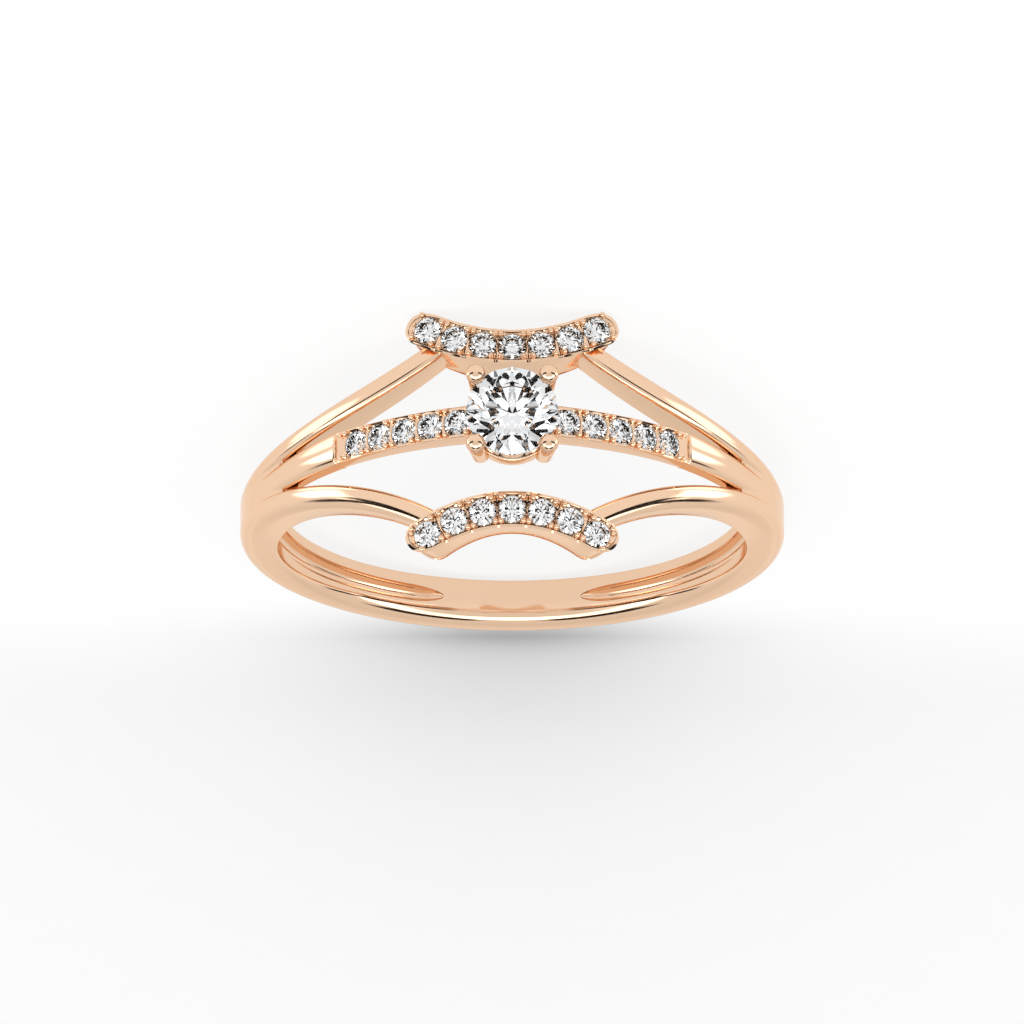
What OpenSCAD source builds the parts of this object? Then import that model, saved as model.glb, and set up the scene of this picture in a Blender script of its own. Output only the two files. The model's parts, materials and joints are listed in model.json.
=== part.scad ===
// Split shank ring in rose gold, with one round brilliant between two set bars and two set arms.
// The ring is worked out with its finger hole along Z and its head towards -Y, and then laid on its side,
// tipped by the small angle at which the lower bar's ends and the back of the band touch the table.

/* [Finger hole and band] */
// Diameter of the finger hole
bore_d = 17.3; // [15:0.1:21]
// Thickness of the band at the back
back_t = 1.55; // [1.3:0.05:2]
// Width of the band at the back
back_w = 1.76; // [1.5:0.02:2.2]
// Rounding of the band's outer edges
band_edge_r = 0.5; // [0.1:0.05:0.6]
// Rounding of the band's inner edges at the back
band_inner_r = 0.3; // [0.1:0.05:0.4]
// Width of the relief groove inside each side of the band, near the shoulder
groove_w = 1.0; // [0.6:0.05:1.1]
// Width of the relief groove near its closed end
groove_end_w = 0.6; // [0.4:0.05:0.8]
// Depth of the relief groove near its closed end
groove_t = 0.45; // [0.2:0.05:0.5]
// Angle from the back at which each relief groove ends
groove_end_a = 17; // [10:1:40]

/* [Side arms] */
// Thickness of the side arms
arm_t = 1.33; // [1.1:0.05:1.6]
// Width of a side arm
arm_w = 0.9; // [0.8:0.02:1]
// How much narrower a side arm is at the finger hole, on the side of the middle arm
arm_taper = 0.15; // [0:0.01:0.25]
// How far a side arm has moved out from the band's line where it meets its bar
arm_spread = 2.67; // [2:0.01:3]
// Share of that spread that is lost with each degree away from the bar
arm_rate = 0.0365; // [0.03:0.0005:0.045]
// Angle from the head at which a side arm meets its bar
arm_join_a = 19; // [17:0.5:22]
// Rounding of the side arms' outer edges
arm_edge_r = 0.34; // [0.1:0.02:0.4]

/* [Middle arms] */
// Width of a middle arm
mid_w = 1.18; // [1.1:0.02:1.4]
// How far the stones' tables would stand above the shank's radius over the finger hole's top
mid_rise = 1.66; // [1:0.02:2]
// Angle from the head at which that rise has run out
mid_rise_a = 65; // [55:1:70]
// Radius of a middle arm's underside, carried on to the ring's middle
mid_under_r = 10.46; // [10:0.02:10.7]
// Angle from the head at which the underside comes down to the relief groove
mid_under_a = 75; // [70:1:80]
// Angle from the head at which the set part ends in a step
mid_step_a = 38.6; // [37:0.2:42]
// Height of that step
mid_step_t = 0.15; // [0.05:0.01:0.25]

/* [Side bars] */
// Radius from the ring's middle to the tables of the bars' stones
bar_table_r = 10.49; // [10.2:0.01:10.7]
// Distance of a bar's middle stone from the ring's middle plane
bar_f = 3.18; // [3.1:0.01:3.5]
// How fast a bar curves away from the centre stone, in mm for each mm squared
bar_curve = 0.0805; // [0.05:0.001:0.1]
// Width of a bar
bar_w = 1.16; // [1.14:0.01:1.4]
// Half of a bar's length, measured across the finger
bar_half = 3.9; // [3.7:0.02:4.1]
// Outward lean of a bar at its middle
bar_lean = 5.5; // [0:0.5:8]
// How fast that lean eases off towards the tips, in degrees for each mm squared
bar_lean_ease = 0.2; // [0:0.02:0.4]
// How much wider a bar is at the finger hole, on its inner side
bar_flare = 0.1; // [0:0.01:0.2]
// Distance from the middle at which a bar's underside starts to rise to its tip
bar_keel_x = 3.32; // [3.2:0.02:3.6]

/* [Head] */
// Diameter of the centre stone
centre_d = 3.41; // [3:0.01:3.6]
// Height of the centre stone's girdle above the ring's middle
girdle_h = 12.16; // [12:0.01:12.4]
// Diameter of a prong and of the ball at its tip
prong_d = 0.72; // [0.6:0.02:0.76]
// Distance of a prong's tip from each middle plane of the head
prong_tip_out = 1.34; // [1.3:0.01:1.4]
// Height of the middle of a prong's ball
prong_tip_h = 12.43; // [12.3:0.01:12.6]
// Distance of a prong's foot from each middle plane of the head
prong_foot_out = 1.16; // [1:0.01:1.2]
// Height of a prong's foot
prong_foot_h = 10.75; // [10.5:0.01:11]
// Outer radius of the seat rail
rail_r = 1.6; // [1.5:0.01:1.7]
// Width of the seat rail, seen from above
rail_w = 0.45; // [0.3:0.01:0.5]
// Height of the seat rail
rail_t = 0.58; // [0.4:0.02:0.7]
// Height of the seat rail's upper edge above the ring's middle
rail_top_h = 11.27; // [11.1:0.01:11.4]

/* [Small stones] */
// Diameter of the small stones
small_d = 1.0; // [0.9:0.01:1.05]
// Distance from one small stone to the next along a bar
bar_pitch = 1.11; // [1.06:0.01:1.15]
// Distance from one small stone to the next along a middle arm
mid_pitch = 1.11; // [1.06:0.01:1.15]
// Angle from the head of a middle arm's first stone
mid_first_a = 10.7; // [10:0.1:12]
// Height of the stones' tables above the gold round them
table_proud = 0.05; // [0:0.01:0.1]
// Width of the beads that hold the small stones
bead_d = 0.2; // [0.18:0.01:0.26]
// Clearance between a stone and its seat
seat_gap = 0.02; // [0.01:0.005:0.04]

/* [Brilliant cut] */
// Width of the table, as a share of the stone's diameter
cut_table = 0.57; // [0.5:0.01:0.65]
// Slope of the crown
cut_crown_a = 34.5; // [30:0.5:38]
// Slope of the pavilion
cut_pavilion_a = 40.8; // [39:0.2:43]
// Thickness of the girdle, as a share of the stone's diameter
cut_girdle = 0.03; // [0.01:0.005:0.05]
// How far the star facets reach from the table to the girdle
cut_star = 0.5; // [0.4:0.05:0.6]
// How far the lower girdle facets reach from the girdle to the culet
cut_lower = 0.77; // [0.7:0.01:0.85]

/* [Hidden] */
BAR_STONES = 7;
MID_STONES = 5;
FRONT_BAR_STONES = [for (i = [1:BAR_STONES]) str("front_bar_stone_", i)];
BACK_BAR_STONES = [for (i = [1:BAR_STONES]) str("back_bar_stone_", i)];
LEFT_ARM_STONES = [for (i = [1:MID_STONES]) str("left_arm_stone_", i)];
RIGHT_ARM_STONES = [for (i = [1:MID_STONES]) str("right_arm_stone_", i)];

GOLD = [0.90, 0.70, 0.55];
DIAMOND = [0.93, 0.95, 0.97];

bore_r = bore_d / 2;
// The strands reach past the finger hole's wall by this much before it is bored
under_bore_r = bore_r - 0.35;

// The first value where t is 0, the second where t is 1, and an even slope between
function mix(a, b, t) = a + (b - a) * max(0, min(1, t));

// A point at angle a from the head towards +X, at radius r and at f along the finger
function polar(a, r, f) = [r * sin(a), -r * cos(a), f];

function unit(v) = v / norm(v);

// Radius of the shank's outside, which grows from the arms to the back
function shank_r(a) = bore_r + arm_t + (back_t - arm_t) * pow(a / 180, 1.2);

// Distance of a side arm's middle from the ring's middle plane: the spread dies away exponentially
function arm_f(a) = (back_w - arm_w) / 2 + arm_spread * exp(-arm_rate * (a - arm_join_a));

// A strand's section in radius and f: from the foot on its low side, over two rounded corners, to the other
// foot. Each row of a foot is a radius and how far the strand has come in from its side there.
function strand_section(mid, half, top, corner, steps, low_foot, high_foot) =
    let (arc = [for (k = [0:steps]) 90 * k / steps])
    concat(
        [for (p = low_foot) [p[0], mid - half + p[1]]],
        [for (q = arc) [top - corner + corner * sin(q), mid - half + corner - corner * cos(q)]],
        [for (q = arc) [top - corner + corner * cos(q), mid + half - corner + corner * sin(q)]],
        [for (k = [len(high_foot) - 1:-1:0]) [high_foot[k][0], mid + half - high_foot[k][1]]]);

// Foot that leans in a little by a radius, and feet that taper or round to just past the finger hole's wall
past_bore_r = bore_r - 0.04;
arm_outer_taper = 0.03;
function lean_foot(r, t) = [[r, t]];
function taper_foot(t) = [[under_bore_r, t], [past_bore_r, t]];
function round_foot(t) =
    let (q = 1 - cos(45))
    [[under_bore_r, t], [past_bore_r, t], [bore_r + q * t, q * t], [bore_r + t, 0]];

function ring_at(a, section) = [for (p = section) polar(a, p[0], p[1])];

// Closed solid through rings that have the same number of points
module sweep(rings) {
    n = len(rings[0]);
    m = len(rings);
    first_cap = [[for (j = [n - 1:-1:0]) j]];
    last_cap = [[for (j = [0:n - 1]) (m - 1) * n + j]];
    sides = [for (i = [0:m - 2], j = [0:n - 1])
        let (k = (j + 1) % n)
        each [[i * n + j, i * n + k, (i + 1) * n + j], [i * n + k, (i + 1) * n + k, (i + 1) * n + j]]];
    polyhedron([for (r = rings) each r], concat(first_cap, sides, last_cap));
}

// Band: from one shoulder round the back to the other, lower near the shoulders so that the creases fade.
// Where the side arms still part, it only bridges them from above, over the relief groove. Arms and band
// cross between the join's two angles: before it the arms stand out of the band, and after it they are in it.
band_from_a = 59.4;
band_full_a = 74;
band_steps = 40;
join_from_a = 73.9;
join_to_a = 80;
join_t = 0.03;
band_bridge_a = 73;
band_bridge_t = 0.05;
crease_t = 0.35;
// Rounding of the band's inner edges near the shoulders, and the angles between which it grows
shoulder_inner_r = 0.06;
inner_from_a = 80;
inner_to_a = 150;

function folded(a) = a <= 180 ? a : 360 - a;

function band_section(a) =
    let (
        q = folded(a),
        rise = (q - band_from_a) / (band_full_a - band_from_a),
        half = arm_f(q) + arm_w / 2 - mix(join_t, 0, (q - join_from_a) / (join_to_a - join_from_a)),
        top = shank_r(q) - mix(crease_t, 0, rise),
        inner = mix(shoulder_inner_r, band_inner_r, (q - inner_from_a) / (inner_to_a - inner_from_a)),
        whole = round_foot(inner),
        foot = q < band_bridge_a ? [for (p = whole) [groove_r(q) + band_bridge_t, p[1]]] : whole)
    strand_section(0, half, top, band_edge_r, 3, foot, foot);

band_rings = [
    for (i = [0:band_steps]) let (a = mix(band_from_a, 360 - band_from_a, i / band_steps))
        ring_at(a, band_section(a))];

// Side arm: starts inside its bar and sinks into the band
arm_from_a = 13.5;
arm_to_a = 86;
arm_step_a = 6.0416;

function arm_section(a) =
    let (sink = mix(0, 2 * join_t, (a - join_from_a) / (join_to_a - join_from_a)))
    strand_section(arm_f(a), arm_w / 2 - sink, shank_r(a) - sink, arm_edge_r, 3,
        taper_foot(arm_taper), taper_foot(arm_outer_taper));

arm_rings = [for (a = [arm_from_a:arm_step_a:arm_to_a + 0.01]) ring_at(a, arm_section(a))];

// Middle arm: the table line over it, its underside and its two stretches
mid_from_a = 7.4;
mid_to_a = 78;
mid_edge_r = 0.06;
mid_polished_edge_r = 0.25;
mid_lean = 0.015;
mid_rise_power = 1.6;
// How far the polished stretch stands out of the set one at its sides, and over how many degrees that fades
mid_proud = 0.02;
mid_proud_fade = 18;
// How far the polished stretch lies in the band, before and after the angles between which it sinks
mid_sunk = [0.01, 0.05];
mid_sunk_a = [68, 76];

function mid_table_r(a) = shank_r(a) + mid_rise * pow(max(0, 1 - a / mid_rise_a), mid_rise_power);
function groove_r(a) =
    bore_r + groove_t + (mid_under_r - bore_r - groove_t) * max(0, 1 - a / mid_under_a);
function mid_polished_r(a) =
    mid_table_r(a) + (mid_step_t - table_proud) * max(0, (mid_rise_a - a) / (mid_rise_a - mid_step_a))
        - mix(mid_sunk[0], mid_sunk[1], (a - mid_sunk_a[0]) / (mid_sunk_a[1] - mid_sunk_a[0]));

function mid_set_section(a, sink) =
    strand_section(0, mid_w / 2 - sink, mid_table_r(a) - table_proud - sink, mid_edge_r, 1,
        lean_foot(groove_r(a) + sink, mid_lean), lean_foot(groove_r(a) + sink, mid_lean));
function mid_polished_section(a) =
    let (proud = mix(mid_proud, -mid_proud, (a - mid_step_a) / mid_proud_fade))
    strand_section(0, mid_w / 2 + proud, mid_polished_r(a), mid_polished_edge_r, 3,
        lean_foot(groove_r(a) - mid_proud, 0), lean_foot(groove_r(a) - mid_proud, 0));

mid_set_to_a = mid_step_a + 0.6;
mid_set_end_sunk = 0.1;
mid_set_steps = 10;
mid_polished_steps = 10;
mid_set_rings = concat(
    [for (i = [0:mid_set_steps]) let (a = mix(mid_from_a, mid_set_to_a, i / mid_set_steps))
        ring_at(a, mid_set_section(a, 0))],
    [ring_at(mid_set_to_a + 1, mid_set_section(mid_set_to_a + 1, mid_set_end_sunk))]);
mid_polished_rings = [
    for (i = [0:mid_polished_steps]) let (a = mix(mid_step_a, mid_to_a, i / mid_polished_steps))
        ring_at(a, mid_polished_section(a))];

// Side bar: its top line, and at each place on it the directions along and up
function bar_top_r() = bar_table_r - table_proud;
function bar_point(x, r) = [x, -sqrt(r * r - x * x), bar_f + bar_curve * x * x];
function bar_up(x, r) =
    let (lean = bar_lean - bar_lean_ease * x * x)
    [x / r * cos(lean), -sqrt(r * r - x * x) / r * cos(lean), sin(lean)];
function bar_along(x, r) = unit([1, x / sqrt(r * r - x * x), 2 * bar_curve * x]);

bar_full_t = bar_top_r() - under_bore_r;
bar_edge_r = 0.1;
bar_tip_t = 0.49;
// Rounding of the tips' outer and inner corners: how far along the bar it starts and how far in it comes
bar_outer_corner = [1.05, 1.27];
bar_inner_corner = [0.2, 0.35];
// Places along the bar, as shares of its half length: the last is where both corners still have room
bar_places = [0, 0.2, 0.4, 0.6, 0.73, 0.79, 0.853, 0.9, 0.94, 0.97, 0.99];

// How far an elliptical corner has come in at a place along the bar
function corner_in(x, corner) =
    let (u = max(0, (abs(x) - bar_half) / corner[0] + 1))
    corner[1] * (1 - sqrt(max(0, 1 - u * u)));
function bar_half_w(x) = bar_w / 2 * norm([1, 2 * bar_curve * x]);
// Depth: down past the finger hole along the bar, and rising steeply under its ends
function bar_depth(x) =
    abs(x) <= bar_keel_x ? bar_full_t
        : mix(bar_top_r() - bore_r, bar_tip_t, (abs(x) - bar_keel_x) / (bar_half - bar_keel_x));

function bar_ring(x) =
    let (
        r = bar_top_r(),
        o = bar_point(x, r),
        up = bar_up(x, r),
        across = unit([0, 0, 1] - up[2] * up),
        low = -bar_half_w(x) + corner_in(x, bar_inner_corner),
        high = bar_half_w(x) - corner_in(x, bar_outer_corner),
        low_foot = [[-bar_depth(x), -bar_flare * bar_depth(x) / bar_full_t]],
        high_foot = lean_foot(-bar_depth(x), 0))
    [for (p = strand_section((low + high) / 2, (high - low) / 2, 0, bar_edge_r, 2, low_foot, high_foot))
        o + p[0] * up + p[1] * across];

bar_rings = concat(
    [for (i = [len(bar_places) - 1:-1:1]) bar_ring(-bar_half * bar_places[i])],
    [for (t = bar_places) bar_ring(bar_half * t)]);

// Relief groove: the space cut away inside one side of the band, narrower and shallower towards its closed end
groove_from_a = 62;
groove_to_a = 180 - groove_end_a;
groove_steps = 13;
groove_run_out_a = 6;
// Width of the groove's floor, as shares of its width at the finger hole, near the shoulder and near its end
groove_floor = [0.72, 0.4];

function groove_section(a) =
    let (
        t = (a - mid_under_a) / (groove_to_a - mid_under_a),
        u = max(0, (a - groove_to_a + groove_run_out_a) / groove_run_out_a),
        close = sqrt(1 - u * u),
        half = mix(groove_w, groove_end_w, t) / 2 * max(0.15, close),
        floor_half = half * mix(groove_floor[0], groove_floor[1], t),
        deep_r = bore_r + (groove_r(a) - bore_r) * max(0.1, close),
        wall = (half - floor_half) / (deep_r - bore_r),
        out = half + wall * (bore_r - under_bore_r))
    [[under_bore_r, -out], [deep_r, -floor_half], [deep_r, floor_half], [under_bore_r, out]];
groove_rings = concat(
    [for (i = [0:groove_steps]) let (a = mix(groove_from_a, groove_to_a - groove_run_out_a, i / groove_steps))
        ring_at(a, groove_section(a))],
    [for (u = [0.4, 0.7, 0.9, 1]) let (a = groove_to_a - groove_run_out_a * (1 - u))
        ring_at(a, groove_section(a))]);

// Prong: a round strand from its foot to its ball-shaped tip
prong_sides = 12;
prong_r = prong_d / 2;
prong_waist_r = prong_r * 0.94;
prong_foot = [prong_foot_out, -prong_foot_h, prong_foot_out];
prong_tip = [prong_tip_out, -prong_tip_h, prong_tip_out];
// Places along the prong: share of the way from foot to tip, further distance past it, and radius
prong_places = concat(
    [for (q = [80, 45, 15]) [0, -prong_waist_r * 0.8 * sin(q), prong_waist_r * cos(q)]],
    [[0.72, 0, prong_waist_r]],
    [for (q = [-30, 0, 35, 60, 82]) [1, prong_r * sin(q), prong_r * cos(q)]]);

function prong_ring(place) =
    let (
        along = unit(prong_tip - prong_foot),
        side = unit(cross(along, [0, 0, 1])),
        other = cross(along, side),
        o = prong_foot + place[0] * (prong_tip - prong_foot) + place[1] * along)
    [for (k = [0:prong_sides - 1])
        o + place[2] * (cos(360 * k / prong_sides) * side - sin(360 * k / prong_sides) * other)];

// Brilliant cut of diameter d: table octagon, star points, two girdle rings, lower points and culet
function brilliant_points(d) =
    let (
        r = d / 2,
        tr = r * cut_table,
        g = d * cut_girdle / 2,
        crown = (r - tr) * tan(cut_crown_a),
        deep = r * tan(cut_pavilion_a),
        flat = tr * cos(22.5),
        sr = flat + cut_star * (r - flat),
        sz = g + crown * (r - sr * cos(22.5)) / (r - tr),
        lr = r * (1 - cut_lower) / cos(22.5),
        lz = -g - deep * cut_lower)
    concat(
        [for (k = [0:7]) [tr * cos(45 * k), tr * sin(45 * k), g + crown]],
        [for (k = [0:7]) [sr * cos(45 * k + 22.5), sr * sin(45 * k + 22.5), sz]],
        [for (k = [0:15]) [r * cos(22.5 * k), r * sin(22.5 * k), g]],
        [for (k = [0:15]) [r * cos(22.5 * k), r * sin(22.5 * k), -g]],
        [for (k = [0:7]) [lr * cos(45 * k + 22.5), lr * sin(45 * k + 22.5), lz]],
        [[0, 0, -g - deep]]);

STAR = 8;
UPPER = 16;
LOWER = 32;
DEEP = 48;
CULET = 56;

brilliant_faces = concat(
    [[for (k = [7:-1:0]) k]],
    [for (k = [0:7]) [k, (k + 1) % 8, STAR + k]],
    [for (k = [0:7]) [k, STAR + k, UPPER + 2 * k, STAR + (k + 7) % 8]],
    [for (k = [0:7]) [STAR + k, UPPER + 2 * k + 1, UPPER + 2 * k]],
    [for (k = [0:7]) [STAR + k, UPPER + (2 * k + 2) % 16, UPPER + 2 * k + 1]],
    [for (k = [0:15]) [UPPER + k, UPPER + (k + 1) % 16, LOWER + (k + 1) % 16, LOWER + k]],
    [for (k = [0:7]) [LOWER + 2 * k, LOWER + 2 * k + 1, DEEP + k]],
    [for (k = [0:7]) [LOWER + 2 * k + 1, LOWER + (2 * k + 2) % 16, DEEP + k]],
    [for (k = [0:7]) [LOWER + 2 * k, DEEP + k, CULET, DEEP + (k + 7) % 8]]);

// Height of a stone's table above the middle of its girdle
function table_z(d) = d * cut_girdle / 2 + d / 2 * (1 - cut_table) * tan(cut_crown_a);

// Places of the small stones: the middle of the girdle, the direction along the row and the way up
small_table_z = table_z(small_d);

// Place on a bar at a distance s along it: x by a few rounds of correction. The slope a little past half way
// stands for the mean slope, because it grows faster further out.
mean_place = 0.56;
function bar_slope(x, r) = norm([1, x / sqrt(r * r - x * x), 2 * bar_curve * x]);
function bar_x(s, r) =
    let (
        x1 = s / bar_slope(s / 2, r),
        x2 = s / bar_slope(x1 * mean_place, r))
    s / bar_slope(x2 * mean_place, r);
function bar_stone_frame(i, side) =
    let (
        x = bar_x((i - (BAR_STONES + 1) / 2) * bar_pitch, bar_table_r),
        up = bar_up(x, bar_table_r),
        along = bar_along(x, bar_table_r),
        p = bar_point(x, bar_table_r) - small_table_z * up,
        flip = [1, 1, side])
    [[for (k = [0:2]) p[k] * flip[k]], [for (k = [0:2]) along[k] * flip[k]], [for (k = [0:2]) up[k] * flip[k]]];

// Place on a middle arm: each stone is one pitch further than the last along the table line
function mid_place(a) = polar(a, mid_table_r(a), 0);
function mid_along(a) = unit(mid_place(a + 0.1) - mid_place(a - 0.1));
function mid_next(a) =
    let (
        speed = norm(mid_place(a + 0.1) - mid_place(a - 0.1)) / 0.2,
        a1 = a + mid_pitch / speed)
    a + mid_pitch / norm(mid_place(a1) - mid_place(a)) * (a1 - a);
function mid_stone_a(i) = i == 1 ? mid_first_a : mid_next(mid_stone_a(i - 1));
function mid_stone_frame(i, side) =
    let (
        a = mid_stone_a(i),
        along = mid_along(a),
        up = cross(along, [0, 0, 1]),
        outward = up * (up * mid_place(a) > 0 ? 1 : -1),
        p = mid_place(a) - small_table_z * outward,
        flip = [side, 1, 1])
    [[for (k = [0:2]) p[k] * flip[k]], [for (k = [0:2]) along[k] * flip[k]],
        [for (k = [0:2]) outward[k] * flip[k]]];

centre_frame = [[0, -girdle_h, 0], [1, 0, 0], [0, -1, 0]];

small_frames = concat(
    [for (side = [1, -1], i = [1:BAR_STONES]) bar_stone_frame(i, side)],
    [for (side = [-1, 1], i = [1:MID_STONES]) mid_stone_frame(i, side)]);

// Stands a shape that is made round +Z at a frame's place, with its +Z up the frame
module stand_at(frame) {
    p = frame[0];
    x = frame[1];
    z = frame[2];
    y = cross(z, x);
    multmatrix([[x[0], y[0], z[0], p[0]], [x[1], y[1], z[1], p[1]], [x[2], y[2], z[2], p[2]], [0, 0, 0, 1]])
        children();
}

// Rest: the ring is tipped until the lowest points of the lower bar and of the band's back are level
lower_bar_points = [for (r = bar_rings, p = r) [p[0], p[1], -p[2]]];
band_back_points = [for (r = band_rings, p = r) if (p[1] > 0) p];

// Height of a point once the ring is tipped, and the lowest of a list of them
function tipped_z(p, tilt) = p[2] * cos(tilt) - p[1] * sin(tilt);
function lowest(points, tilt) =
    let (z = [for (p = points) tipped_z(p, tilt)])
    points[search(min(z), z)[0]];
function level_tilt(tilt) =
    let (bar = lowest(lower_bar_points, tilt), back = lowest(band_back_points, tilt))
    atan2(back[2] - bar[2], back[1] - bar[1]);

rest_tilt = -level_tilt(level_tilt(level_tilt(10)));
rest_low = tipped_z(lowest(lower_bar_points, -rest_tilt), -rest_tilt);

echo(rest_tilt = rest_tilt, rest_low = rest_low);

module lie_down() {
    rotate([rest_tilt, 0, 0]) children();
}

module both_sides() {
    children();
    mirror([1, 0, 0]) children();
}

module front_and_back() {
    children();
    mirror([0, 0, 1]) children();
}

module finger_hole() {
    cylinder(r = bore_r, h = 2 * (bar_f + bar_w + 2), center = true, $fn = 96);
}

module seat_rail() {
    rotate([90, 0, 0]) rotate_extrude($fn = 32)
        translate([rail_r - rail_w, rail_top_h - rail_t]) square([rail_w, rail_t]);
}

// Seat of a small stone: a cone under its pavilion and a straight way up past its table
seat_cut_h = 0.5;
module small_seat() {
    r = (small_d / 2 + seat_gap) / cos(15);
    low = small_d * cut_girdle / 2 + seat_gap;
    rotate_extrude($fn = 12)
        polygon([[0, -low - r * tan(cut_pavilion_a)], [r, -low], [r, seat_cut_h], [0, seat_cut_h]]);
}

// Seat of the centre stone: the stone's own outline, with the clearance all round it
module centre_seat() {
    r = (centre_d / 2 + seat_gap) / cos(7.5);
    low = centre_d * cut_girdle / 2 + seat_gap;
    top_r = centre_d * cut_table / 2;
    rotate_extrude($fn = 24)
        polygon([[0, -low - r * tan(cut_pavilion_a)], [r, -low], [r, low],
            [top_r, low + (r - top_r) * tan(cut_crown_a)], [0, low + (r - top_r) * tan(cut_crown_a)]]);
}

// Beads: four round each small stone, in the corners between it and its neighbours
bead_along = 0.44;
bead_across = 0.46;
bead_t = 0.15;
bead_sunk = 0.06;
bead_turn = 20;

module beads() {
    for (frame = small_frames, along = [-1, 1], across = [-1, 1])
        stand_at(frame)
            translate([along * bead_along, across * bead_across, small_table_z - table_proud - bead_sunk])
                rotate([0, 0, bead_turn]) cylinder(d1 = bead_d, d2 = bead_d / 2, h = bead_t, $fn = 6);
}

// All the gold before the finger hole is bored
module casting() {
    difference() {
        union() {
            difference() {
                union() {
                    sweep(band_rings);
                    both_sides() {
                        front_and_back() sweep(arm_rings);
                        sweep(mid_set_rings);
                        sweep(mid_polished_rings);
                    }
                    front_and_back() sweep(bar_rings);
                }
                both_sides() sweep(groove_rings);
                for (frame = small_frames) stand_at(frame) small_seat();
            }
            both_sides() front_and_back() sweep([for (p = prong_places) prong_ring(p)]);
            seat_rail();
            beads();
        }
        stand_at(centre_frame) centre_seat();
    }
}

module metal() {
    color(GOLD) lie_down() difference() {
        resize([0, 0, 0]) casting();
        finger_hole();
    }
}

module stone(frame, d) {
    color(DIAMOND) lie_down() stand_at(frame) polyhedron(brilliant_points(d), brilliant_faces);
}

metal();
stone(centre_frame, centre_d);  // centre_stone
for (i = [1:BAR_STONES]) {
    stone(bar_stone_frame(i, 1), small_d);
    stone(bar_stone_frame(i, -1), small_d);
}
for (i = [1:MID_STONES]) {
    stone(mid_stone_frame(i, -1), small_d);
    stone(mid_stone_frame(i, 1), small_d);
}
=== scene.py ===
# %% [markdown]
# # A split shank ring in rose gold, lying on its side
#
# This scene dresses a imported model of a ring. The real ring is one gold casting that holds 25 round
# brilliants. The stones of the model already have their true facets, so they stay and only get a better
# material. The casting is drawn again here as fine smooth surfaces, because polished gold shows every flat.

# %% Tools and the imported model
import json
import math

import bpy
import numpy as np
from mathutils import Matrix, Vector

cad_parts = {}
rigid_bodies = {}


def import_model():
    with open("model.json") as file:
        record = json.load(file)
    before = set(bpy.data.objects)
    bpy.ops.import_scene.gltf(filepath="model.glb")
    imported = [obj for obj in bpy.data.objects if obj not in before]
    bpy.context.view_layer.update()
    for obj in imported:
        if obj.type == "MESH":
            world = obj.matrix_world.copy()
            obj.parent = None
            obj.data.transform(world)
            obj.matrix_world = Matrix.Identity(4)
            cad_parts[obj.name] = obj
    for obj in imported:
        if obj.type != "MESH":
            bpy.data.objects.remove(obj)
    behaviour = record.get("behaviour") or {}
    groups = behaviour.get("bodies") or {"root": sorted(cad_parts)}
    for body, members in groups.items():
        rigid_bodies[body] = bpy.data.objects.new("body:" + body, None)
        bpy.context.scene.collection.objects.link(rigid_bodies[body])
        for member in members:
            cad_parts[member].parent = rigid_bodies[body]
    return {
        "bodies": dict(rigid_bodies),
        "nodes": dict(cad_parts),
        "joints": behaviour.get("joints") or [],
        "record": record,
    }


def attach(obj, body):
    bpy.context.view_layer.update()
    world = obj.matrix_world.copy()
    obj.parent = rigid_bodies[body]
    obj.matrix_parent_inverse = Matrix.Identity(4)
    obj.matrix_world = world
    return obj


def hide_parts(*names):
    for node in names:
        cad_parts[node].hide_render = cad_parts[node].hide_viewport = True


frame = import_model()
stones = {name: node for name, node in frame["nodes"].items() if name != "metal"}
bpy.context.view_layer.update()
print("packed model:", len(frame["nodes"]), "nodes,", len(stones), "stones")

# %% [markdown]
# ## One set of sizes
#
# A jeweller works in millimetres, and so do these sizes. They are the same named sizes as the part's own
# source, so every new surface lands where the solid has it. The ring is worked out upright, with its finger
# hole along Z and its head towards -Y. The last step lays it down and scales it to metres. Only the bars are
# a hair slimmer here, because the solid needs a wall round each seat that the fine surface can do without.
#
# In the names, R is a radius, T a thickness, W a width, F a distance along the finger, and A an angle in
# degrees, counted from the head. The arms grow together at SHOULDER_A, where a dip is left between them.

# %% Sizes of the ring
MM = 0.001
REST_TILT = math.radians(-11.3799)
REST_LOW = -2.7840
BORE_R = 8.65
BACK_T, BACK_W = 1.55, 1.76
ARM_T, ARM_W, ARM_TAPER = 1.33, 0.9, 0.15
ARM_SPREAD, ARM_RATE, ARM_JOIN_A, ARM_START_A = 2.67, 0.0365, 19.0, 15.0
SHOULDER_A, SHOULDER_DIP = 59.0, 0.17
MID_W, MID_RISE, MID_RISE_A, MID_POWER = 1.18, 1.66, 65.0, 1.6
MID_UNDER_R, MID_UNDER_A = 10.46, 75.0
MID_START_A, MID_STEP_A, MID_STEP_T = 7.4, 38.6, 0.15
GROOVE_W, GROOVE_END_W, GROOVE_T, GROOVE_END_A, GROOVE_TIP_A = 1.0, 0.6, 0.45, 17.0, 9.0
BAR_TABLE_R, BAR_F, BAR_CURVE, BAR_W = 10.49, 3.18, 0.0805, 1.13
BAR_HALF, BAR_LEAN, BAR_FLARE, BAR_KEEL_X = 3.84, 5.5, 0.1, 3.32
SMALL_D, PITCH, TABLE_PROUD = 1.0, 1.11, 0.05
CROWN_A, CUT_TABLE, CUT_GIRDLE = 34.5, 0.57, 0.03
print("finger hole", 2 * BORE_R, "mm across, small stones", SMALL_D, "mm")


def blend(a, b, t):
    """The first value where t is 0, the second where t is 1, and an even slope between."""
    return a + (b - a) * np.clip(t, 0.0, 1.0)


def unit(v):
    """Each vector of an array divided by its own length."""
    return v / np.linalg.norm(v, axis=-1, keepdims=True)


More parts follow.
